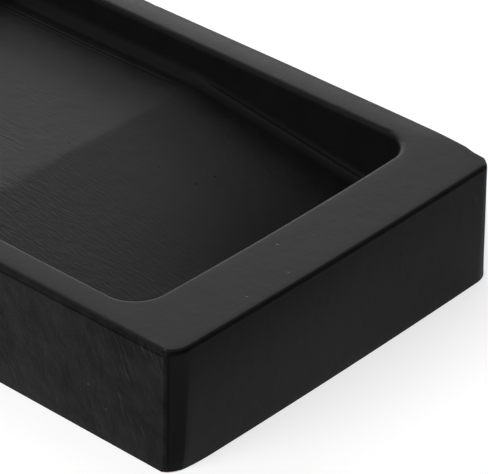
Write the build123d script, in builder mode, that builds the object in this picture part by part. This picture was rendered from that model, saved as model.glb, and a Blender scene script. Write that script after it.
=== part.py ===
from build123d import *
import os

# Rectangular ink stone, cut from one block of dark slate. Units are millimetres.
# The origin is at the middle of the underside, +X points at the deep end of the well, +Z is up.

# Outer block
length = 152.0
width = 95.6
height = 27.2
end_bow = 0.5              # how far each end face swells at its middle
corner_radius = 5.9        # rounding of the upright corners, smooth where it meets the end faces
side_grind = 1.1           # ground off each long side after the rounding, which leaves a crease there
rim_edge_radius = 1.05     # top outer edge
foot_edge_radius = 0.25    # bottom outer edge

# Well
side_wall = 7.4            # thickness of each long wall
end_wall = 16.1            # thickness of each end wall, at its middle
well_bow = 0.75            # how far each end of the well swells at its middle
well_corner_radius = 6.7   # in plan
level_depth = 8.5          # grinding floor, level with the rim
pool_depth = 15.8          # deep end, where the ink collects
slope_length = 58.1        # from the wall of the deep end to the crease in the floor
crease_radius = 6.0        # softens the crease between the level floor and the slope
floor_radius = 2.0         # hollow where the floor meets the walls
lip_radius = 1.3           # top inner edge, all round the well

overrun = 5.0              # how far a cutting shape stands past what it cuts

well_end_x = length / 2 - end_wall
crease_x = well_end_x - slope_length
slope_share = (pool_depth - level_depth) / slope_length
tail_depth = pool_depth + (length / 2 - well_end_x) * slope_share


def bowed_plan(end_x, side_y, bow, corner):
    """Sketch with straight long sides, ends that swell by bow at the middle, and rounded corners."""
    shoulder_x = end_x - bow
    with BuildSketch() as plan:
        with BuildLine():
            Line((-shoulder_x, side_y), (shoulder_x, side_y))
            SagittaArc((shoulder_x, side_y), (shoulder_x, -side_y), bow)
            Line((shoulder_x, -side_y), (-shoulder_x, -side_y))
            SagittaArc((-shoulder_x, -side_y), (-shoulder_x, side_y), bow)
        make_face()
        fillet(plan.vertices(), corner)
    return plan.sketch


# The space that the well takes out of the block: its plan, carried down to the floor, and then
# the floor as seen from the long side, level at first and then falling to the deep end.
with BuildPart() as well_space:
    with BuildSketch(Plane.XY.offset(height - pool_depth - overrun)):
        add(bowed_plan(well_end_x, width / 2 - side_wall, well_bow, well_corner_radius))
    extrude(amount=pool_depth + 2 * overrun)
    with BuildSketch(Plane.XZ):
        with BuildLine():
            FilletPolyline(
                (-length / 2, height - level_depth),
                (crease_x, height - level_depth),
                (length / 2, height - tail_depth),
                radius=crease_radius,
            )
            Polyline(
                (length / 2, height - tail_depth),
                (length / 2, height + overrun),
                (-length / 2, height + overrun),
                (-length / 2, height - level_depth),
            )
        make_face()
    extrude(amount=width / 2, both=True, mode=Mode.INTERSECT)
    upright = well_space.edges().filter_by(Axis.Z)
    top_edges = well_space.edges().group_by(Axis.Z)[-1]
    across = well_space.edges().filter_by(Axis.Y)
    floor_edges = well_space.edges() - upright - top_edges - across
    fillet(floor_edges, floor_radius)

with BuildPart() as ink_stone:
    with BuildSketch():
        add(bowed_plan(length / 2, width / 2 + side_grind, end_bow, corner_radius))
        Rectangle(length + overrun, width, mode=Mode.INTERSECT)
    extrude(amount=height)
    add(well_space.part, mode=Mode.SUBTRACT)
    rim = ink_stone.faces().sort_by(Axis.Z)[-1]
    fillet(rim.inner_wires()[0].edges(), lip_radius)
    rim = ink_stone.faces().sort_by(Axis.Z)[-1]
    fillet(rim.outer_wire().edges(), rim_edge_radius)
    underside = ink_stone.faces().sort_by(Axis.Z)[0]
    fillet(underside.outer_wire().edges(), foot_edge_radius)

ink_stone.part.label = "ink_stone"
os.makedirs("parts", exist_ok=True)
export_step(ink_stone.part, "parts/ink_stone.step")

box = ink_stone.part.bounding_box()
cubic_mm_in_cm3 = 1000
volume = ink_stone.part.volume / cubic_mm_in_cm3
print(f"ink_stone: {box.size.X:.2f} x {box.size.Y:.2f} x {box.size.Z:.2f} mm, {volume:.1f} cm3")
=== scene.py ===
# %% [markdown]
# # A slate ink stone
# The object is one block of black slate. A well is cut into its top: a level grinding floor, and a
# slope that falls to a pool for the ink. This lesson dresses the bare CAD block: it builds the same
# stone again as one fine mesh with its small real shapes, gives it a slate finish made of nodes,
# and stands it on a pale floor in soft light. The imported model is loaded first, as the fixed frame.

# %% Load the frame
import math

import bpy
import numpy as np
from mathutils import Matrix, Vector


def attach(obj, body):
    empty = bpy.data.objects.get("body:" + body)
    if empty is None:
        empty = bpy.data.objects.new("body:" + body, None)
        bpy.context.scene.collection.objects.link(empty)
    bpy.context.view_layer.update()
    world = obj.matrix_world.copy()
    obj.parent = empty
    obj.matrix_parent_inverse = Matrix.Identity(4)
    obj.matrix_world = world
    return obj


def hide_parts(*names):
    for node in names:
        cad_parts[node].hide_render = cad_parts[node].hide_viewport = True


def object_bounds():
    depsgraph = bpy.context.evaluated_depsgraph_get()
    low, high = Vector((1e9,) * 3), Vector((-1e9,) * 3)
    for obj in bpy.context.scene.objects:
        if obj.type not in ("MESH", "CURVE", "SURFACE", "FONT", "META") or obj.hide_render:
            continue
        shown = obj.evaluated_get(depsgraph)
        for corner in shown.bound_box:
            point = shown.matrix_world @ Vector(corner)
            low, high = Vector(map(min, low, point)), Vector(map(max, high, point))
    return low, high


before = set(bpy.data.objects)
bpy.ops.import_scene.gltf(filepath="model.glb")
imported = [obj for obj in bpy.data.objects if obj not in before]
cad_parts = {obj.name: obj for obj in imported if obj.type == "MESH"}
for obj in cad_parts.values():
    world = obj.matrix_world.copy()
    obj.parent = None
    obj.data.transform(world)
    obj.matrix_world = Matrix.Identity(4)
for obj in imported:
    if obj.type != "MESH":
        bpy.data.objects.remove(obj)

cad_low, cad_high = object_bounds()
mm = 0.001
length, width, height = (high - low for low, high in zip(cad_low, cad_high))
print(f"block {length / mm:.1f} x {width / mm:.1f} x {height / mm:.1f} mm")

# %% [markdown]
# ## The sizes of the stone
# The outer size comes from the frame. Nearly all others are the sizes of the CAD source, in metres.
# A crisp corner of real stone is never quite sharp, so the crease beside each upright corner gets a
# small rounding of its own, crease_radius. The foot edge is sharper than in the CAD and the hollow
# at the foot of the wall is wider, because the photograph shows them so.

# %% Sizes
end_bow = 0.5 * mm            # how far each end face swells at its middle
corner_radius = 5.9 * mm      # the upright corners, before the long sides are ground flat
side_grind = 1.1 * mm         # ground off each long side after that
crease_radius = 0.15 * mm     # what is left of the crease where the grinding stops
rim_edge_radius = 1.05 * mm
foot_edge_radius = 0.06 * mm
side_wall = 7.4 * mm
end_wall = 16.1 * mm
well_bow = 0.75 * mm
well_corner_radius = 6.7 * mm
level_depth = 8.5 * mm
pool_depth = 15.8 * mm
slope_length = 58.1 * mm
floor_crease_radius = 6.0 * mm
hollow_radius = 2.8 * mm
lip_radius = 1.3 * mm
finest_radius = 0.05 * mm     # the least that a corner of a loop may have

half_length = length / 2
half_width = width / 2
well_end = half_length - end_wall
well_half = half_width - side_wall
floor_crease_x = well_end - slope_length
fall = (pool_depth - level_depth) / slope_length
fall_angle = math.degrees(math.atan(fall))
print(f"the floor falls {fall_angle:.1f} degrees from x = {floor_crease_x / mm:.1f} mm")

# %% [markdown]
# ## The outline of the block, seen from above
# Every level of the stone has nearly the same outline: straight sides, ends that swell a little,
# and round corners. A box with a Bevel modifier gives round corners too, but not the bowed ends,
# nor a corner that is cut off by the grinding. A formula gives all three. The outline is one closed
# loop of stations. Station for station, every loop of the stone matches the next one, so they can
# be joined by four-sided faces, and the stations crowd together towards the corners.

# %% Stations round a loop
end_steps = 34                # from the middle of an end to its corner
corner_steps = 24             # round one corner
side_steps = 70               # from a corner to the middle of a long side
crowding_share = 0.45         # how much closer the stations are beside a corner
quarter_steps = end_steps + corner_steps + side_steps
loop_steps = 4 * quarter_steps


def crowded(steps):
    """Shares from 0 to 1 that lie closer together towards 1: s = t + c sin(pi t) / pi."""
    t = np.linspace(0, 1, steps + 1)
    return t + crowding_share * np.sin(np.pi * t) / np.pi


def outline(end_x, side_y, corner, bow, grind=0.0, crease=finest_radius):
    """The loop as arrays x and y, counterclockwise from the middle of the +X end.

    Round the corner, a station is named by the direction t that the edge faces there, from 0 (+X) to
    90 degrees (+Y): the point is centre + corner (cos t, sin t). The grinding plane y = side_y cuts
    that arc off, and from where it does, the point is centre2 + crease (cos t, sin t), the small
    arc that touches both. The bow takes bow (y / side_y)^2 off the length."""
    centre_x = end_x - corner
    centre_y = side_y + grind - corner
    rise = side_y - crease - centre_y
    crease_x = centre_x + math.sqrt(max((corner - crease) ** 2 - rise**2, 0.0))
    change = math.atan2(rise, crease_x - centre_x)
    t = np.linspace(0, np.pi / 2, corner_steps + 1)
    on_corner = t < change
    corner_x = np.where(on_corner, centre_x + corner * np.cos(t), crease_x + crease * np.cos(t))
    corner_y = np.where(on_corner, centre_y + corner * np.sin(t), side_y - crease + crease * np.sin(t))
    end_y = centre_y * crowded(end_steps)[:-1]
    side_x = crease_x * crowded(side_steps)[::-1][1:]
    x = np.concatenate([np.full(end_steps, end_x), corner_x, side_x])
    y = np.concatenate([end_y, corner_y, np.full(side_steps, side_y)])
    x = x * (1 - bow / end_x * (y / side_y) ** 2)
    forward = slice(0, quarter_steps)
    backward = slice(quarter_steps, 0, -1)
    loop_x = np.concatenate([x[forward], -x[backward], -x[forward], x[backward]])
    loop_y = np.concatenate([y[forward], y[backward], -y[forward], -y[backward]])
    return loop_x, loop_y


def block_loop(inset):
    """The outline of the block, a distance inset inside its faces."""
    crease = max(crease_radius - inset, finest_radius)
    end_x, side_y = half_length - inset, half_width - inset
    return outline(end_x, side_y, corner_radius - inset, end_bow, side_grind, crease)


def well_loop(inset):
    """The outline of the well, a distance inset inside its walls. A negative inset widens it."""
    corner = max(well_corner_radius - inset, 2 * finest_radius)
    return outline(well_end - inset, well_half - inset, corner, well_bow)


print(f"{loop_steps} stations in each loop")

# %% [markdown]
# ## The height of the floor
# Seen from the long side, the floor is two straight lines that meet at a blunt crease. On the real
# stone the crease is soft, since both parts are rubbed on the same stone. A short parabola that is
# tangent to both lines stands for it.

# %% Floor height
blend_length = floor_crease_radius * math.tan(math.atan(fall) / 2)


def floor_height(x):
    """The height at x: level, then a parabola 2 blend_length long, then a slope of fall."""
    past_level = x - (floor_crease_x - blend_length)
    curved = np.clip(past_level, 0, 2 * blend_length) ** 2 * fall / (4 * blend_length)
    straight = np.clip(past_level - 2 * blend_length, 0, None) * fall
    return height - level_depth - curved - straight


print(f"floor at {floor_height(0 * mm) / mm:.1f} mm, pool at {floor_height(well_end) / mm:.1f} mm")

# %% [markdown]
# ## The stone as a stack of loops
# One section through the edge of the stone, followed from the underside round to the floor of the
# well, is carried round the outline: foot edge, outer face, rim edge, rim, lip, wall, and the
# hollow at the foot of the wall. Each rounding is a quarter circle. The loops lie closer together
# where the section bends, so the roundings are true shapes and need no Bevel modifier.

# %% Section, from the underside to the floor
foot_steps = 4
face_steps = 12
rim_edge_steps = 10
rim_steps = 12
lip_steps = 12
wall_steps = 8
hollow_steps = 40
foot_band_steps = 24
guard_gap = 0.5 * mm          # one loop lies so far below the rim edge, to keep its shading off the face
foot_band = 7.2 * mm          # the strip of floor beside the wall that has loops of its own


def rings(xs, ys, zs):
    """Stacks loops into one array of loop, station and coordinate."""
    return np.stack([np.array(xs), np.array(ys), np.array(zs)], axis=-1)


def stack(loop_of, insets, height_of):
    """Loops at the given insets, whose height is worked out by height_of(number, x, y)."""
    loops = [loop_of(inset) for inset in insets]
    heights = [np.broadcast_to(height_of(i, x, y), x.shape) for i, (x, y) in enumerate(loops)]
    return rings([x for x, y in loops], [y for x, y in loops], heights)


def quarter(steps):
    """Angles of a quarter circle."""
    return np.linspace(0, np.pi / 2, steps + 1)


turn = quarter(foot_steps)
foot_part = stack(
    block_loop,
    foot_edge_radius * (1 - np.sin(turn)),
    lambda i, x, y: foot_edge_radius * (1 - np.cos(turn[i])),
)
levels = np.linspace(foot_edge_radius, height - rim_edge_radius - guard_gap, face_steps)[1:]
levels = np.append(levels, height - rim_edge_radius)
face_part = stack(block_loop, np.zeros(face_steps), lambda i, x, y: levels[i])
edge_turn = quarter(rim_edge_steps)[1:]
rim_edge_part = stack(
    block_loop,
    rim_edge_radius * (1 - np.cos(edge_turn)),
    lambda i, x, y: height - rim_edge_radius * (1 - np.sin(edge_turn[i])),
)
print("outer loops:", len(foot_part) + len(face_part) + len(rim_edge_part))

# %% Rim, lip, wall and hollow
lip_turn = quarter(lip_steps)
lip_part = stack(
    well_loop,
    -lip_radius * (1 - np.sin(lip_turn)),
    lambda i, x, y: height - lip_radius * (1 - np.cos(lip_turn[i])),
)
rim_shares = np.linspace(0, 1, rim_steps + 1)[1:-1, None, None]
rim_part = rim_edge_part[-1] * (1 - rim_shares) + lip_part[0] * rim_shares
wall_shares = np.linspace(0, 1, wall_steps + 1)[1:]
wall_top = height - lip_radius


def wall_height(i, x, y):
    """A share of the way from the lip down to the top of the hollow."""
    return wall_top + (floor_height(x) + hollow_radius - wall_top) * wall_shares[i]


wall_part = stack(well_loop, np.zeros(wall_steps), wall_height)
hollow_turn = quarter(hollow_steps)[1:]
hollow_part = stack(
    well_loop,
    hollow_radius * (1 - np.cos(hollow_turn)),
    lambda i, x, y: floor_height(x) + hollow_radius * (1 - np.sin(hollow_turn[i])),
)
band_insets = np.linspace(hollow_radius, foot_band, foot_band_steps + 1)[1:]
band_part = stack(well_loop, band_insets, lambda i, x, y: floor_height(x))
parts = {
    "foot": foot_part,
    "face": face_part,
    "rim_edge": rim_edge_part,
    "rim": rim_part,
    "lip": lip_part,
    "wall": wall_part,
    "hollow": hollow_part,
    "band": band_part,
}
loops = np.concatenate(list(parts.values()))
print("all loops:", len(loops))

# %% [markdown]
# ## Filling the underside and the floor
# The first and the last loop are still open. Closing each with one face of 500 sides would leave
# nothing to shape, and triangles that all meet at one point would shade badly. Each is filled with
# a grid instead. Its corners are the middles of the round corners, its borders are the loop's own
# stations, and inside, a point is worked out from the four borders.

# %% Grid inside a loop
corner_station = end_steps + corner_steps // 2
across_steps = 2 * corner_station
along_steps = 2 * (quarter_steps - corner_station)


def grid_stations():
    """The stations on the border of a grid whose rows run along X and whose columns run along Y."""
    right = (np.arange(across_steps + 1) - corner_station) % loop_steps
    top = (np.arange(along_steps + 1)[::-1] + corner_station) % loop_steps
    left = (2 * quarter_steps + corner_station - np.arange(across_steps + 1)) % loop_steps
    bottom = (2 * quarter_steps + corner_station + np.arange(along_steps + 1)) % loop_steps
    return bottom, top, left, right


def fill(loop):
    """The points inside a loop: the mean of what is drawn across from each pair of opposite borders,
    less what the corners count twice (a Coons patch)."""
    bottom, top, left, right = (loop[stations] for stations in grid_stations())
    u = np.linspace(0, 1, along_steps + 1)[None, :, None]
    v = np.linspace(0, 1, across_steps + 1)[:, None, None]
    between_rows = (1 - v) * bottom[None] + v * top[None]
    between_columns = (1 - u) * left[:, None] + u * right[:, None]
    corners = (1 - u) * (1 - v) * bottom[0] + u * (1 - v) * bottom[-1]
    corners = corners + (1 - u) * v * top[0] + u * v * top[-1]
    return (between_rows + between_columns - corners)[1:-1, 1:-1]


underside = fill(loops[0])
floor = fill(loops[-1])
floor[..., 2] = floor_height(floor[..., 0])
print("floor grid:", floor.shape[:2])

# %% [markdown]
# ## One closed mesh
# Points and faces are put together as whole arrays. The faces of the stack join each loop to the
# next, and the two grids share the stations of the first and the last loop, so nothing is doubled
# and the skin has no seam.

# %% Points and faces
ring_count = len(loops)
ring_points = ring_count * loop_steps
points = np.concatenate([loops.reshape(-1, 3), underside.reshape(-1, 3), floor.reshape(-1, 3)])


def ring_faces():
    """Four corners of each face between loop j and loop j + 1."""
    j, i = np.meshgrid(np.arange(ring_count - 1), np.arange(loop_steps), indexing="ij")
    following = (i + 1) % loop_steps
    this_loop, next_loop = j * loop_steps, (j + 1) * loop_steps
    four = [this_loop + i, this_loop + following, next_loop + following, next_loop + i]
    return np.stack(four, axis=-1).reshape(-1, 4)


def grid_faces(first_inner, loop_start, flipped):
    """Four corners of each face of a grid whose border is the loop that starts at loop_start."""
    numbers = np.zeros((across_steps + 1, along_steps + 1), dtype=np.int64)
    inner_count = (across_steps - 1) * (along_steps - 1)
    numbers[1:-1, 1:-1] = first_inner + np.arange(inner_count).reshape(across_steps - 1, along_steps - 1)
    bottom, top, left, right = grid_stations()
    numbers[0, :] = loop_start + bottom
    numbers[-1, :] = loop_start + top
    numbers[:, 0] = loop_start + left
    numbers[:, -1] = loop_start + right
    faces = np.stack([numbers[:-1, :-1], numbers[:-1, 1:], numbers[1:, 1:], numbers[1:, :-1]], axis=-1)
    faces = faces.reshape(-1, 4)
    return faces[:, ::-1] if flipped else faces


faces = np.concatenate([
    ring_faces(),
    grid_faces(ring_points, 0, flipped=True),
    grid_faces(ring_points + underside[..., 0].size, (ring_count - 1) * loop_steps, flipped=False),
])
print(f"{len(points)} points, {2 * len(faces)} triangles")

# %% [markdown]
# ## Which part of the stone a point belongs to
# The finish differs from place to place: the sides are sawn, the floor is rubbed lengthwise. The
# mesh keeps that knowledge as attributes, one number a point, which the material reads.
# The stack makes this easy, because a loop's number already says what it is part of.

# %% Masks
part_of_loop = np.concatenate([np.full(len(part), name) for name, part in parts.items()])
part_of_point = np.concatenate([
    np.repeat(part_of_loop, loop_steps),
    np.full(underside[..., 0].size, "underside"),
    np.full(floor[..., 0].size, "band"),
])
outer = np.isin(part_of_point, ["foot", "face", "rim_edge"])
on_edge = np.isin(part_of_point, ["rim_edge", "lip"])
in_hollow = part_of_point == "hollow"
on_floor = part_of_point == "band"
x_points, y_points, z_points = points.T
print({name: int((part_of_point == name).sum()) for name in np.unique(part_of_point)})

# %% [markdown]
# ## Noise on arrays
# Waves and nicks need random values that change smoothly from point to point. Blender has noise of
# its own, but it takes one point at a time. This one works on whole arrays: it mixes a number from
# the coordinates of each corner of a lattice, so every run gives the same stone.

# %% Patches of noise
place_factors = (73856093, 19349663, 83492791)    # large odd numbers that scatter the bits
seed_factor = 2654435761
mixing_factors = (1274126177, 2246822519)
low_32_bits = 0xFFFFFFFF
low_24_bits = 0xFFFFFF


def lattice(ix, iy, iz, seed):
    """A number from 0 to 1 for each whole-numbered place. Its coordinates and the seed, each times a
    large factor, are joined bit by bit (exclusive or), and then shifted and multiplied twice."""
    bits = (ix * place_factors[0]) ^ (iy * place_factors[1]) ^ (iz * place_factors[2])
    bits = bits ^ (seed * seed_factor)
    bits = (bits ^ (bits >> 13)) * mixing_factors[0] & low_32_bits
    bits = (bits ^ (bits >> 16)) * mixing_factors[1] & low_32_bits
    return ((bits ^ (bits >> 15)) & low_24_bits) / low_24_bits


def patches(where, size, seed):
    """Smooth noise from 0 to 1 with patches of the given size: random values on a lattice, joined by
    f = t^2 (3 - 2t) along each axis."""
    in_cells = where / np.asarray(size)
    cell = np.floor(in_cells).astype(np.int64)
    t = in_cells - cell
    t = t * t * (3 - 2 * t)
    value = 0.0
    for dx in (0, 1):
        for dy in (0, 1):
            for dz in (0, 1):
                weight = np.abs(1 - dx - t[:, 0]) * np.abs(1 - dy - t[:, 1]) * np.abs(1 - dz - t[:, 2])
                corner_value = lattice(cell[:, 0] + dx, cell[:, 1] + dy, cell[:, 2] + dz, seed)
                value = value + weight * corner_value
    return value


trial = patches(points, 9 * mm, seed=1)
print(f"noise runs from {trial.min():.3f} to {trial.max():.3f}")

# %% [markdown]
# ## Small real shapes
# No face of a hand-finished stone is a true plane. Nearly everything below takes material away,
# measured in depth below the plain surface, and nothing goes past its planes, so the stone never
# grows out of its box. Depths are pushed in along the surface normal, which Blender works out once
# for the plain mesh. First come the broad waves that grinding leaves, and the nicks of use along
# the edges.

# %% Waves and nicks
wave_depth = 0.05 * mm
wave_size = 16 * mm
ripple_depth = 0.014 * mm
ripple_size = 5 * mm
nick_depth = 0.10 * mm
nick_size = np.array([1.8, 1.8, 1.0]) * mm
nick_least = 0.84             # the noise value at which a nick begins
wave_seed = 11
ripple_seed = 12
nick_seed = 21
waves = wave_depth * patches(points, wave_size, wave_seed)
depth = waves + ripple_depth * patches(points, ripple_size, ripple_seed)
nicks = np.clip(patches(points, nick_size, nick_seed) - nick_least, 0, None) / (1 - nick_least)
depth += nick_depth * nicks * on_edge
depth *= ~np.isin(part_of_point, ["underside", "foot"])
print(f"{int((nicks * on_edge > 0).sum())} points in nicks")

# %% [markdown]
# ## Lines beside the wall
# Two tools cut the well, and both left a line. On the level floor two scribed lines run along the
# wall, a few millimetres out. On the slope a narrow groove lies in the hollow itself, where the
# second cut met the first. They catch the light, so they are real grooves. Each is a bell curve,
# depth e^-(d / width)^2, of the distance d from its middle line, and both long sides get them.

# %% Two scribed lines
scribed_depth = 0.08 * mm
scribed_width = 0.20 * mm
scribed_x = np.array([-52, -38, -25, -12, -1]) * mm
scribed_from_wall = np.array([4.5, 5.0, 4.65, 4.3, 4.25]) * mm
scribed_end_x = -0.5 * mm
scribed_fade = 4 * mm
second_line_shift = 1.15 * mm
second_line_share = 0.45
second_line_end_x = -14 * mm

from_side_wall = well_half - np.abs(y_points)
scribed_curve = np.polyfit(scribed_x, scribed_from_wall, 2)
from_scribed = from_side_wall - np.polyval(scribed_curve, np.clip(x_points, scribed_x[0], scribed_x[-1]))
first_line = np.exp(-((from_scribed / scribed_width) ** 2))
first_line *= np.clip((scribed_end_x - x_points) / scribed_fade, 0, 1)
second_line = np.exp(-(((from_scribed - second_line_shift) / scribed_width) ** 2))
second_line *= np.clip((second_line_end_x - x_points) / scribed_fade, 0, 1)
depth += scribed_depth * on_floor * (first_line + second_line_share * second_line)
print(f"{int((on_floor * first_line > 0.5).sum())} points in the first line")

# %% A groove in the hollow
groove_depth = 0.15 * mm
groove_width = 0.13 * mm
groove_x = np.array([15, 45]) * mm
groove_angle = np.radians([56, 52])    # how far up the hollow it lies there, from the floor
groove_start_x = 3 * mm
groove_fade = 4 * mm
above_floor = np.clip(z_points - floor_height(x_points), 0, hollow_radius)
up_the_hollow = np.arccos(1 - above_floor / hollow_radius)
groove_middle = np.interp(x_points, groove_x, groove_angle)
groove = np.exp(-((hollow_radius * (up_the_hollow - groove_middle) / groove_width) ** 2)) * in_hollow
groove *= np.clip((x_points - groove_start_x) / groove_fade, 0, 1)
depth += groove_depth * groove
print(f"deepest mark {depth.max() / mm:.3f} mm")

# %% [markdown]
# ## The crown of the narrow rims
# The long rims are only five millimetres wide, and rubbing has made each a little round, so the far
# one brightens outwards and the near one inwards. A low arch stands for it on the near rim: it
# lowers both borders by crown_depth and leaves the middle where it was. The far rim is worn more,
# and only outwards. Both fade out towards the ends.

# %% Crown
crown_depth = 0.035 * mm
far_crown_depth = 0.12 * mm
crown_fade = 5 * mm           # the length over which it fades at either end
rim_inside = well_half + lip_radius
rim_outside = half_width - rim_edge_radius
rim_middle = (rim_inside + rim_outside) / 2
rim_half = (rim_outside - rim_inside) / 2
across_rim = np.clip((np.abs(y_points) - rim_middle) / rim_half, -1, 1)
near_crown = crown_depth * across_rim**2
far_crown = far_crown_depth * ((1 + across_rim) / 2) ** 2
crown = np.where(y_points < 0, near_crown, far_crown)
crown *= np.clip((well_end - np.abs(x_points)) / crown_fade, 0, 1)
crown *= np.isin(part_of_point, ["rim_edge", "rim", "lip"])
print(f"each long rim is {2 * rim_half / mm:.2f} mm wide")

# %% [markdown]
# ## Sharper and rounder top edges
# The top outer edges differ as well: the far one is less rounded than those of the ends, and the
# near one more. The less rounded one is the only form here that adds material, between the planes
# of the side and the rim. The stack could have a radius of its own at each station, but a small
# shift does it. A point that the edge's direction t puts at r (1 - cos t), r (1 - sin t) moves to
# where the other r puts it, once the normals are known. Round a near corner the change fades with
# the square of how much the outline faces along Y there. At the far side it ends before the corner.

# %% Change of the edge radius
far_edge_radius = 0.40 * mm
near_edge_radius = 1.35 * mm
far_edge_fade = 2.5 * mm
edge_change = rim_edge_radius - np.where(y_points < 0, near_edge_radius, far_edge_radius)
edge_change *= part_of_point == "rim_edge"
before_corner = np.clip((half_length - corner_radius - np.abs(x_points)) / far_edge_fade, 0, 1)
edge_change *= np.where(y_points < 0, 1, before_corner)
print(f"far top edge {far_edge_radius / mm:.2f} mm, near top edge {near_edge_radius / mm:.2f} mm")

# %% [markdown]
# ## The uneven far side and the near foot
# The far long side is not ground as true as the near one. It draws in a little along the shallow
# half, and near the deep end its top is rubbed away towards the corner. Both are shifts along Y
# that fade from the outer face to the lip, and from the rim down to the foot. At the deep end the
# foot of the near corner is rubbed too, a shift along X that fades upwards and along the end face.
# All three follow the outline in the photograph, and are taken for the wear of this one stone.

# %% Far side and near foot
drawn_in = 0.25 * mm
drawn_in_x = np.array([-16, 20]) * mm
rubbed_away = 1.5 * mm
rubbed_from_x = 50 * mm
rubbed_to_x = 74 * mm
outer_share = np.clip((y_points - rim_inside) / (half_width - rim_inside), 0, 1)
towards_corner = np.clip((x_points - rubbed_from_x) / (rubbed_to_x - rubbed_from_x), 0, 1)
far_shift = np.interp(x_points, drawn_in_x, [drawn_in, 0]) + rubbed_away * towards_corner**2
far_shift *= outer_share * z_points / height
foot_rub = 0.42 * mm
foot_rub_height = 3.0 * mm
foot_rub_from_y = -37 * mm
foot_rub_to_y = -44 * mm
foot_rub_share = np.clip((foot_rub_from_y - y_points) / (foot_rub_from_y - foot_rub_to_y), 0, 1)
foot_rub_share = foot_rub_share * outer * (x_points > well_end)
near_shift = foot_rub * foot_rub_share**2 * np.clip(1 - z_points / foot_rub_height, 0, 1)
print(f"the far side moves in by up to {far_shift.max() / mm:.2f} mm")

# %% [markdown]
# ## The mesh, with its marks pushed in
# The plain mesh is made first, and Blender works out its normals. Then each point moves in along
# its normal by the depth of its marks, and the shifts of the worn places are added. A Displace
# modifier could do the first, but not the shifts, and here the result is exact and final.

# %% Make the mesh
stone_mesh = bpy.data.meshes.new("carved_slate_block")
stone_mesh.from_pydata(points, [], faces.tolist())
stone_mesh.polygons.foreach_set("use_smooth", np.ones(len(faces), dtype=bool))
stone_mesh.update()
normals = np.empty(len(points) * 3, dtype=np.float32)
stone_mesh.vertices.foreach_get("normal", normals)
normals = normals.reshape(-1, 3)
print(f"{len(normals)} normals")

# %% Push the marks in
level_share = np.clip(normals[:, 2], 0, 1)
worn_points = points - normals * (depth + crown * level_share)[:, None]
worn_points[:, 0] -= near_shift
middle_of_face = (len(foot_part) + face_steps // 2) * loop_steps    # the first point of that loop
facing = normals[middle_of_face:middle_of_face + loop_steps, :2]
facing = facing / np.linalg.norm(facing, axis=1, keepdims=True)
facing = facing[np.arange(len(points)) % loop_steps]
edge_change *= facing[:, 1] ** 2
worn_points[:, :2] += facing * (edge_change * (1 - np.sqrt(1 - level_share**2)))[:, None]
worn_points[:, 1] -= far_shift
worn_points[:, 2] += edge_change * (1 - level_share)
stone_mesh.vertices.foreach_set("co", worn_points.astype(np.float32).ravel())
stone_mesh.update()
stone = bpy.data.objects.new("carved_slate_block", stone_mesh)
bpy.context.scene.collection.objects.link(stone)
print(f"marks up to {depth.max() / mm:.2f} mm deep pushed in")

# %% Check the volume
cubic_mm_in_cm3 = 1000
corners_of = worn_points[faces]
signed = np.einsum("ij,ij->i", corners_of[:, 0], np.cross(corners_of[:, 1], corners_of[:, 2]))
signed += np.einsum("ij,ij->i", corners_of[:, 0], np.cross(corners_of[:, 2], corners_of[:, 3]))
volume = signed.sum() / 6 / mm**3 / cubic_mm_in_cm3
print(f"volume {volume:.1f} cm3, and the faces look outwards if it is positive")

# %% [markdown]
# ## Masks that the material can read
# A material can't know what part of the stone it is on. Each mask is kept on the mesh as an
# attribute with one number a point. They need no image and no UV map, and the border of a mask
# follows the lines of the mesh. The masks run from 0 to 1, apart from texture_share, which says how
# coarse a place is and is highest on the long sides.

# %% Keep the masks on the mesh
upright_least = 0.75          # a point counts as upright while its normal rises by less than this
facing_side = 0.7             # how square to Y a normal must be for its point to lie on a long side
coarse_sides = 1.7
plain_share = 0.6
texture_shares = {
    "foot": 1.0,
    "face": 0.45,
    "rim_edge": 0.35,
    "rim": 0.35,
    "lip": 0.35,
    "wall": 0.3,
    "hollow": 0.3,
}
to_side_plane = corner_radius - side_grind    # from the middle of a corner's arc
corner_crease_x = half_length - corner_radius + math.sqrt(corner_radius**2 - to_side_plane**2)
upright = outer & (np.abs(normals[:, 2]) < upright_least)
beside_crease = 2 * mm
by_crease = np.abs(x_points) > corner_crease_x - beside_crease
round_corner = by_crease & (np.abs(y_points) > half_width - corner_radius)
on_long_side = upright & (np.abs(normals[:, 1]) > facing_side)
texture = np.vectorize(lambda name: texture_shares.get(name, plain_share))(part_of_point)
texture = np.where(on_long_side, coarse_sides, texture)
masks = {
    "texture_share": texture,
    "outside_share": outer | (part_of_point == "rim"),
    "upright_share": upright,
    "corner_share": upright & round_corner,
    "rim_share": part_of_point == "rim",
    "floor_share": on_floor,
    "side_share": on_long_side,
    "hollow_share": in_hollow,
    "low_hollow_share": in_hollow * (1 - up_the_hollow / (np.pi / 2)),
    "groove_share": groove,
}
for name, values in masks.items():
    attribute = stone_mesh.attributes.new(name, "FLOAT", "POINT")
    attribute.data.foreach_set("value", values.astype(np.float32))
print("masks:", ", ".join(masks))

# %% [markdown]
# ## The slate
# Slate that has been ground but not polished is nearly black, with a satin sheen. Most of what the
# eye sees on it is that sheen, so the finish is made mainly of roughness and of fine relief, and
# only a little of colour.

# %% Small tools for nodes
slate = bpy.data.materials.new("ground_slate")
slate.use_nodes = True
tree = slate.node_tree
surface = tree.nodes["Principled BSDF"]


def put(value, socket):
    """Links value to the socket if it is a socket too, and otherwise writes it there."""
    if isinstance(value, bpy.types.NodeSocket):
        socket.node.id_data.links.new(value, socket)
    else:
        socket.default_value = value


def maths(operation, first, second=0.0):
    """One Math node."""
    made = tree.nodes.new("ShaderNodeMath")
    made.operation = operation
    put(first, made.inputs[0])
    put(second, made.inputs[1])
    return made.outputs[0]


def total(*values):
    """The sum of several values."""
    result = values[0]
    for value in values[1:]:
        result = maths("ADD", result, value)
    return result


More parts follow.
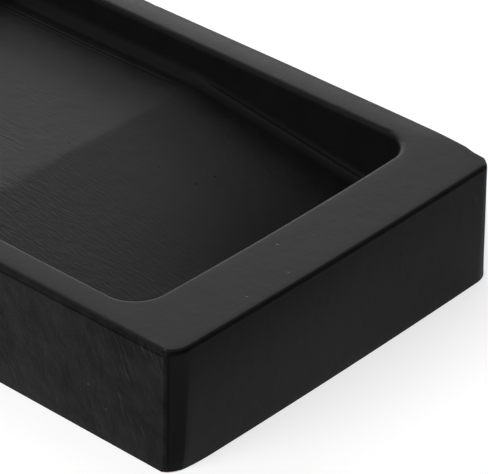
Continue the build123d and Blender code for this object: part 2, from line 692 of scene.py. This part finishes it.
def times(*values):
    """The product of several values."""
    result = values[0]
    for value in values[1:]:
        result = maths("MULTIPLY", result, value)
    return result


def remaining(share):
    """What a share leaves of 1."""
    return maths("SUBTRACT", 1.0, share)


def step(value, low, high):
    """A smooth step of value: 0 up to low, 1 from high. If high is the lower one, it falls upwards."""
    made = tree.nodes.new("ShaderNodeMapRange")
    made.interpolation_type = "SMOOTHSTEP"
    put(value, made.inputs["Value"])
    put(low, made.inputs["From Min"])
    put(high, made.inputs["From Max"])
    return made.outputs["Result"]


def mask(name):
    """One of the mesh's own masks."""
    made = tree.nodes.new("ShaderNodeAttribute")
    made.attribute_name = name
    return made.outputs["Fac"]


def along(direction):
    """How far a place lies in a direction, in millimetres."""
    made = tree.nodes.new("ShaderNodeVectorMath")
    made.operation = "DOT_PRODUCT"
    put(place, made.inputs[0])
    made.inputs[1].default_value = tuple(part / mm for part in direction)
    return made.outputs["Value"]


def noise(sizes, detail=2.0, roughness=0.5, axes=None):
    """Noise around zero, about -0.5 to 0.5, whose patches have the given sizes in mm along the axes."""
    coordinates = tree.nodes.new("ShaderNodeCombineXYZ")
    for axis, size, socket in zip(axes or (x_mm, y_mm, z_mm), sizes, coordinates.inputs):
        put(times(axis, 1 / size), socket)
    made = tree.nodes.new("ShaderNodeTexNoise")
    made.inputs["Scale"].default_value = 1.0
    made.inputs["Detail"].default_value = detail
    made.inputs["Roughness"].default_value = roughness
    put(coordinates.outputs["Vector"], made.inputs["Vector"])
    return maths("SUBTRACT", made.outputs[0], noise_middle)


noise_middle = 0.5            # Blender's noise lies around this value
place = tree.nodes.new("ShaderNodeTexCoord").outputs["Object"]
x_mm, y_mm, z_mm = along((1, 0, 0)), along((0, 1, 0)), along((0, 0, 1))
outside, upright_mask, corner_mask = mask("outside_share"), mask("upright_share"), mask("corner_share")
rim_mask, floor_mask = mask("rim_share"), mask("floor_share")
side_mask, hollow_mask = mask("side_share"), mask("hollow_share")
low_hollow, groove_mask = mask("low_hollow_share"), mask("groove_share")
texture_strength = mask("texture_share")
print("slate starts with", len(tree.nodes), "nodes")

# %% [markdown]
# ## Grain, rubbing marks and scratches
# Several kinds of marks lie over each other. The grain of the slate is fine, and shows more on the
# rougher faces. The floor was rubbed lengthwise, most visibly just before it starts to fall. The
# upright faces were sawn and then rubbed, and slanting scratches are left near the corners. They
# could be cut into the mesh, but most are finer than its faces. Noise that is stretched along the
# marks gives all of them, and the Bump node reads their sum as a height in millimetres. From here
# on, a pair of numbers in brackets is where a step starts and ends, in mm unless a comment says
# otherwise.

# %% Noises of the marks
grain_patch = (0.42, 0.42, 0.42)      # the size of a patch along X, Y and Z, in mm
mottle_patch = (4.2, 4.2, 4.2)
broad_patch = (14, 14, 14)
rub_patch = (9.0, 0.75, 9.0)
short_mark_patch = (2.4, 0.6, 2.4)
rim_mark_patch = (0.8, 3.5, 0.8)
grain_detail = 3.0
grain_roughness = 0.6
mark_roughness = 0.55

grain = noise(grain_patch, grain_detail, grain_roughness)
mottle = noise(mottle_patch, grain_detail, grain_roughness)
broad = noise(broad_patch)
rubbed = noise(rub_patch, roughness=mark_roughness)
short_marks = noise(short_mark_patch, roughness=mark_roughness)
crosswise = noise(rim_mark_patch, roughness=mark_roughness)
print("noises made,", len(tree.nodes), "nodes so far")

# %% Where the floor shows its rubbing
rub_start_x = (-45, 0)
rub_stop_x = (3, 1)
rub_y = (20, -30)
rub_gaps = (-0.22, 0.12)              # values of the broad noise, which leaves out some places
plain_rub_share = 0.25
before_crease_share = 1.6
short_mark_x = (0, 4)
short_mark_y = (15, -25)
plain_short_share = 0.25

before_crease = times(step(x_mm, *rub_start_x), step(x_mm, *rub_stop_x), step(y_mm, *rub_y))
rub_amount = total(plain_rub_share, times(before_crease, before_crease_share))
rub_share = times(floor_mask, rub_amount, step(broad, *rub_gaps))
short_amount = total(plain_short_share, step(y_mm, *short_mark_y))
short_share = times(floor_mask, step(x_mm, *short_mark_x), short_amount)
print("rubbing ends at x =", rub_stop_x[0], "mm")

# %% Scratches and streaks of the upright faces
scratch_lean = math.radians(27)
scratch_patch = (0.42, 6, 30)         # across a scratch, along it, and along Y, in mm
streak_patch = (3.0, 12, 30)
scratch_detail = 1.0
scratch_values = (0.13, 0.21)         # values of the noise at which a scratch begins and is whole
scratch_gaps = (-0.12, 0.10)          # values of the broad noise
side_end_x = (50, 69)
far_end_y = (22, 44)
far_end_share = 0.7
plain_scratch_share = 0.08

sideways = total(x_mm, y_mm)          # runs along the long sides and along the end faces alike
lean_cos = math.cos(scratch_lean)
lean_sin = math.sin(scratch_lean)
across_scratch = total(times(sideways, lean_cos), times(z_mm, lean_sin))
along_scratch = total(times(z_mm, lean_cos), times(sideways, -lean_sin))
scratch_axes = (across_scratch, along_scratch, y_mm)
fine_scratches = noise(scratch_patch, scratch_detail, axes=scratch_axes)
streaks = noise(streak_patch, axes=scratch_axes)
on_side_end = times(side_mask, step(maths("ABSOLUTE", x_mm), *side_end_x))
on_far_end = times(remaining(side_mask), step(y_mm, *far_end_y), far_end_share)
scratch_amount = total(plain_scratch_share, on_side_end, on_far_end)
scratch_zone = times(upright_mask, scratch_amount, step(broad, *scratch_gaps))
scratches = times(step(fine_scratches, *scratch_values), scratch_zone)
print(f"scratches lean {math.degrees(scratch_lean):.0f} degrees")

# %% Pits and specks
pit_spacing = 4.6 * mm
pit_chance = (0.50, 0.52)             # a cell has a pit if its random number is past these
least_pit_size = 0.045                # pit sizes are shares of the spacing
pit_size_change = 0.05
pit_rim_share = (0.35, 1.0)           # shares of its size at which a pit's floor ends and its rim lies
cells = tree.nodes.new("ShaderNodeTexVoronoi")
cells.inputs["Scale"].default_value = 1 / pit_spacing
put(place, cells.inputs["Vector"])
chance = tree.nodes.new("ShaderNodeSeparateColor")
put(cells.outputs["Color"], chance.inputs["Color"])
pit_size = total(least_pit_size, times(chance.outputs["Green"], pit_size_change))
from_pit = maths("DIVIDE", cells.outputs["Distance"], pit_size)
inside_pit = remaining(step(from_pit, *pit_rim_share))
pits = times(inside_pit, step(chance.outputs["Red"], *pit_chance))
print(f"largest pit {2 * (least_pit_size + pit_size_change) * pit_spacing / mm:.1f} mm across")

# %% Relief of the marks
grain_height = 0.035                  # heights and depths in mm
mottle_height = 0.16
streak_height = 0.075
rub_height = 0.12
short_mark_height = 0.09
rim_mark_height = 0.02
scratch_depth = 0.10
pit_depth = 0.10
well_pit_share = 0.5                  # the pits of the well are shallower than those outside
relief = total(
    times(grain, texture_strength, texture_strength, grain_height),
    times(mottle, texture_strength, mottle_height),
    times(streaks, upright_mask, texture_strength, streak_height),
    times(rubbed, rub_share, rub_height),
    times(short_marks, short_share, short_mark_height),
    times(crosswise, rim_mask, rim_mark_height),
    times(scratches, -scratch_depth),
    times(pits, total(well_pit_share, times(outside, 1 - well_pit_share)), -pit_depth),
)
bump = tree.nodes.new("ShaderNodeBump")
bump.inputs["Strength"].default_value = 1.0
bump.inputs["Distance"].default_value = mm
put(relief, bump.inputs["Height"])
put(bump.outputs["Normal"], surface.inputs["Normal"])
print("relief made,", len(tree.nodes), "nodes so far")

# %% [markdown]
# ## Colour
# The outside is a little paler than the well, because it is less finely ground. The upright faces
# get lighter towards the foot, painted light for the pale floor, and the end faces darker towards the
# top, painted shade. Scratches and specks show the grey of freshly broken slate. The round upright
# corners are smoother than the faces beside them, and much blacker, partly their own finish and
# partly painted shade for the shaded floor that they reflect, up to a crisp border that leans a
# little. The border is worked out from the place, since the mesh has no edge there that a mask could
# follow.

# %% The strips at the upright corners
strip_border = 43.05                  # distance of the border from the middle plane, at the rim, in mm
strip_lean = 0.05                     # how much further out the border lies for each mm down
strip_border_step = (0.0, 0.3)
strip_crease_step = (-0.15, 0.05)
down_from_rim = maths("SUBTRACT", height / mm, z_mm)
border_here = total(strip_border, times(down_from_rim, strip_lean))
past_border = maths("SUBTRACT", maths("ABSOLUTE", y_mm), border_here)
past_crease = maths("SUBTRACT", maths("ABSOLUTE", x_mm), corner_crease_x / mm)
strip = times(corner_mask, step(past_border, *strip_border_step), step(past_crease, *strip_crease_step))
end_mask = times(upright_mask, remaining(side_mask), remaining(strip))
print("strips start", strip_border, "mm from the middle")


# %% Colour
def mixed(share, first, second):
    """A colour between two, by share."""
    made = tree.nodes.new("ShaderNodeMix")
    made.data_type = "RGBA"
    put(share, made.inputs["Factor"])
    put(first, made.inputs["A"])
    put(second, made.inputs["B"])
    return made.outputs["Result"]


def scaled(colour, factor):
    """A colour made lighter or darker by a factor."""
    made = tree.nodes.new("ShaderNodeVectorMath")
    made.operation = "SCALE"
    put(colour, made.inputs[0])
    put(factor, made.inputs["Scale"])
    return made.outputs["Vector"]


outside_colour = (0.0070, 0.0070, 0.0071, 1)
well_colour = (0.0056, 0.0056, 0.0057, 1)
broken_colour = (0.12, 0.12, 0.12, 1)
# partly the corners' own blacker finish, partly painted shade for the shaded floor they reflect
corner_colour_and_shade = (0.0016, 0.0016, 0.0016, 1)
top_height = 27.0                     # where the top edge begins, in mm
# painted light: the upright faces are lighter towards the foot, for the light of the pale floor
painted_foot_light_z = (9.0, 0.0)
painted_foot_light_change = 0.35                    # changes are shares that are added to a factor of 1
# painted shade: the end faces are darker towards the top
painted_top_shade_change = -0.6
mottle_change = 1.6
streak_change = 0.8
scratch_colour_share = 0.16
pit_colour_share = 0.4

# painted light on the upright faces, stronger towards the foot
painted_foot_light = times(upright_mask, step(z_mm, *painted_foot_light_z))
# painted shade on the end faces, stronger towards the top
painted_top_shade = times(end_mask, step(z_mm, 0.0, top_height))
plain_colour = mixed(outside, well_colour, outside_colour)
patchy = total(times(mottle, mottle_change), times(streaks, upright_mask, streak_change))
patchy = times(texture_strength, patchy)
brightness = total(1.0, patchy, times(painted_foot_light, painted_foot_light_change), times(painted_top_shade, painted_top_shade_change))
varied = scaled(plain_colour, brightness)
broken = total(times(scratches, scratch_colour_share), times(pits, outside, pit_colour_share))
with_marks = mixed(broken, varied, broken_colour)
put(mixed(strip, with_marks, corner_colour_and_shade), surface.inputs["Base Color"])
print("colour made,", len(tree.nodes), "nodes so far")

# %% [markdown]
# ## Roughness and sheen
# Ground slate is satin, so its roughness lies near the middle of the scale. How strongly it shines
# is its specular level: here a plain level times a factor, which is 1 on plain stone and changes
# smoothly with the place. These amounts were fitted to the tones of one photograph. The pool is
# duller than the level floor, most towards the far wall, partly a duller finish and partly painted
# shade. The hollow under the wall and its groove, the slope beside the far wall, the long sides
# towards the deep end, the end faces towards the top and the strip of the far corner are duller,
# painted shade, and the outer part of the far rim shines more, a painted highlight. The strips at
# the corners are also duller near their border. For a stone of even sheen, write plain_specular on
# the socket instead.

# %% Roughness
slate_ior = 1.5
plain_roughness = 0.46
mottle_roughness = 0.10
strip_roughness = -0.06
scratch_roughness = 0.10
satin = total(
    plain_roughness,
    times(mottle, mottle_roughness),
    times(strip, strip_roughness),
    times(scratches, scratch_roughness),
)
put(satin, surface.inputs["Roughness"])
surface.inputs["IOR"].default_value = slate_ior
print("roughness about", plain_roughness)

# %% Sheen of the well
slope_start_x = (1.0, 5.0)
slope_start_change = 0.16
# the pool is duller towards the far wall: partly a duller finish, partly painted shade
pool_x = (16, 58)
pool_y = (-35, 10)
pool_finish_and_shade = -0.86
# painted shade: the slope is duller beside the far wall
wall_shade_x = (2, 10)
wall_shade_y = (24, 38)
wall_shade_change = -0.22
# painted shade: the hollow under the wall and its groove are duller
along_slope_x = (0, 12)
slope_hollow_shade = -0.40
level_hollow_shade = -0.45
groove_shade = -0.7
well_pit_change = -0.8

slope_changes = total(
    times(step(x_mm, *slope_start_x), slope_start_change),
    times(step(x_mm, *pool_x), step(y_mm, *pool_y), pool_finish_and_shade),
    times(step(x_mm, *wall_shade_x), step(y_mm, *wall_shade_y), wall_shade_change),
)
slope_sheen_and_shade = times(floor_mask, slope_changes)
along_slope = step(x_mm, *along_slope_x)
painted_hollow_shade = total(
    times(hollow_mask, along_slope, slope_hollow_shade),
    times(low_hollow, remaining(along_slope), level_hollow_shade),
    times(groove_mask, groove_shade),
)
in_pits = times(pits, remaining(outside), well_pit_change)
print(f"the pool shines {1 + pool_finish_and_shade:.2f} times as much as plain stone")

# %% Sheen of the outside
strip_gloss_step = (0.0, 3.5)
strip_edge_change = 0.35
# painted shade on the strip of the far corner
painted_far_strip_shade_y = (0, 10)
painted_far_strip_shade_change = -0.5
# painted shade: the long sides are duller towards the deep end
side_x = (18, 80)
side_shade_change = -0.39
# painted highlight on the outer part of the far rim
rim_z = (26.4, 27.0)
far_rim_y = (41.5, 47)
far_rim_x = (66, 58)
far_rim_highlight_change = 0.50
# painted shade and light: the end faces are duller towards the top and on their far half, and a little
# brighter at the near foot
near_foot_change = 0.09
near_top_shade = -0.65
far_foot_change = -0.25
far_top_shade = -0.25
far_half_y = (-10, 35)
below_edge_z = (26.8, 25.6)

strip_edge = maths("SUBTRACT", step(past_border, *strip_gloss_step), 1.0)
painted_far_strip_shade = times(step(y_mm, *painted_far_strip_shade_y), painted_far_strip_shade_change)
on_strip = times(strip, total(times(strip_edge, strip_edge_change), painted_far_strip_shade))
on_side = times(side_mask, step(x_mm, *side_x), side_shade_change)
painted_far_rim_highlight = times(step(z_mm, *rim_z), step(y_mm, *far_rim_y), step(x_mm, *far_rim_x), far_rim_highlight_change)
up_share = times(z_mm, 1 / top_height)
near_end = total(near_foot_change, times(up_share, up_share, near_top_shade))
far_end = total(far_foot_change, times(up_share, far_top_shade))
from_near_end = times(step(y_mm, *far_half_y), maths("SUBTRACT", far_end, near_end))
painted_end_shade_and_light = times(end_mask, step(z_mm, *below_edge_z), total(near_end, from_near_end))
print("sheen made,", len(tree.nodes), "nodes so far")

# %% Put the slate on the stone
plain_specular = 0.08
sheen = total(1.0, slope_sheen_and_shade, on_strip, painted_hollow_shade, on_side, painted_far_rim_highlight, painted_end_shade_and_light, in_pits)
put(times(plain_specular, sheen), surface.inputs["Specular IOR Level"])
stone_mesh.materials.append(slate)
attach(stone, "root")
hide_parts("ink_stone")
print("the stone rides on root,", len(tree.nodes), "nodes in its slate")

# %% [markdown]
# ## The floor
# The stone stands on a sheet of pale paper. A floor could be one large square, but a round one that
# is far wider than the view shows no corner from any side. Its grey catches the soft shadow of the
# stone. A little light of its own, which only the camera and reflections see, makes it pale, so no
# extra light falls on the stone.

# %% Floor
white = (1, 1, 1, 1)
floor_colour = (0.55, 0.55, 0.55, 1)
floor_roughness = 0.9
floor_lift = 0.60             # how strongly it glows for the camera and for reflections
floor_radius = 20.0           # metres
floor_sides = 64
angles = np.linspace(0, 2 * np.pi, floor_sides, endpoint=False)
floor_x = np.cos(angles) * floor_radius
floor_y = np.sin(angles) * floor_radius
floor_points = np.stack([floor_x, floor_y, np.full(floor_sides, cad_low.z)])
floor_mesh = bpy.data.meshes.new("studio_floor")
floor_mesh.from_pydata(floor_points.T, [], [list(range(floor_sides))])
studio_floor = bpy.data.objects.new("studio_floor", floor_mesh)
bpy.context.scene.collection.objects.link(studio_floor)
print("floor", floor_radius, "m")

# %% Paper
paper = bpy.data.materials.new("white_paper")
paper.use_nodes = True
paper_surface = paper.node_tree.nodes["Principled BSDF"]
paper_surface.inputs["Base Color"].default_value = floor_colour
paper_surface.inputs["Roughness"].default_value = floor_roughness
paper_surface.inputs["Specular IOR Level"].default_value = 0.0
tree = paper.node_tree        # from here on the tools for nodes work on the paper
rays = tree.nodes.new("ShaderNodeLightPath")
seen = maths("MAXIMUM", rays.outputs["Is Camera Ray"], rays.outputs["Is Glossy Ray"])
seen = maths("MAXIMUM", seen, rays.outputs["Is Transmission Ray"])
paper_surface.inputs["Emission Color"].default_value = white
put(times(seen, floor_lift), paper_surface.inputs["Emission Strength"])
floor_mesh.materials.append(paper)
print(len(tree.nodes), "nodes in the paper")

# %% [markdown]
# ## The lamps
# Black slate shows little but what it reflects, so the lamps decide how it looks. Small lamps would
# leave sharp bright spots. Four large soft ones stand round it instead: two low and one high at the
# back, whose light glances off the rims and the floor of the well, and a high one in front for the
# faces that the camera sees. A weak white world fills the shadows.

# %% Lamps
lamp_table = {
    # name: azimuth, elevation, distance, width, height, power in watts
    "back_lamp": (201, 12, 1.2, 1.0, 0.4, 3.9),
    "back_left_lamp": (241, 12, 1.2, 1.0, 0.4, 3.2),
    "high_back_lamp": (241, 38, 1.2, 1.0, 1.0, 6.7),
    "front_lamp": (1, 38, 1.2, 1.0, 1.0, 13.0),
}


def towards(azimuth, elevation):
    """The direction from the stone that azimuth and elevation name, in degrees."""
    a, e = math.radians(azimuth), math.radians(elevation)
    return np.array([math.sin(a) * math.cos(e), -math.cos(a) * math.cos(e), math.sin(e)])


def standing(right, up, backwards, where):
    """The matrix of a lamp or camera at where, from the directions of its own three axes."""
    axes = np.stack([right, up, backwards], axis=1)
    rows = [[*row, at] for row, at in zip(axes, where)]
    return Matrix(rows + [[0, 0, 0, 1]])


def soft_lamp(name, azimuth, elevation, distance, across, tall, power):
    """An area lamp that looks at the stone."""
    lamp = bpy.data.lights.new(name, "AREA")
    lamp.shape = "RECTANGLE"
    lamp.size = across
    lamp.size_y = tall
    lamp.energy = power
    holder = bpy.data.objects.new(name, lamp)
    back = towards(azimuth, elevation)
    side = np.cross((0, 0, 1), back)
    side = side / np.linalg.norm(side)
    above = np.cross(back, side)
    holder.matrix_world = standing(side, above, back, back * distance)
    bpy.context.scene.collection.objects.link(holder)
    return holder


for lamp_name, numbers in lamp_table.items():
    soft_lamp(lamp_name, *numbers)
print(len(lamp_table), "lamps")

# %% World
sky_strength = 0.20
world = bpy.data.worlds.new("studio")
bpy.context.scene.world = world
world.use_nodes = True
sky = world.node_tree.nodes["Background"]
sky.inputs["Color"].default_value = white
sky.inputs["Strength"].default_value = sky_strength
print("world at", sky_strength)

# %% [markdown]
# ## The camera
# The camera stands where the photograph was taken from. A constraint could aim it, but leaves out
# its roll. Here its three axes are worked out from a direction and a roll, and written into its
# matrix. The direction, the roll and the long lens were found from the straight edges of the block,
# so that the edges in the render lie close to those in the photograph.

# %% Camera
aim_point = np.array([52.30, -2.46, 21.88]) * mm
camera_azimuth = 41.11
camera_elevation = 32.54
camera_roll = math.radians(1.15)
camera_distance = 662.1 * mm
sensor_width = 36.0
photo_width = 488
focal_pixels = 3408.9
nearest_seen = 0.01

camera_back = towards(camera_azimuth, camera_elevation)
level_axis = np.cross((0, 0, 1), camera_back)
level_axis = level_axis / np.linalg.norm(level_axis)
rising_axis = np.cross(camera_back, level_axis)
camera_right = math.cos(camera_roll) * level_axis + math.sin(camera_roll) * rising_axis
camera_up = -math.sin(camera_roll) * level_axis + math.cos(camera_roll) * rising_axis
eye = aim_point + camera_back * camera_distance
camera = bpy.data.objects.new("camera", bpy.data.cameras.new("camera"))
camera.data.sensor_width = sensor_width
camera.data.lens = focal_pixels / photo_width * sensor_width
camera.data.clip_start = nearest_seen
camera.data.clip_end = 2 * floor_radius
camera.matrix_world = standing(camera_right, camera_up, camera_back, eye)
bpy.context.scene.collection.objects.link(camera)
bpy.context.scene.camera = camera
bpy.context.scene.view_settings.view_transform = "Standard"
print(f"lens {camera.data.lens:.1f} mm")
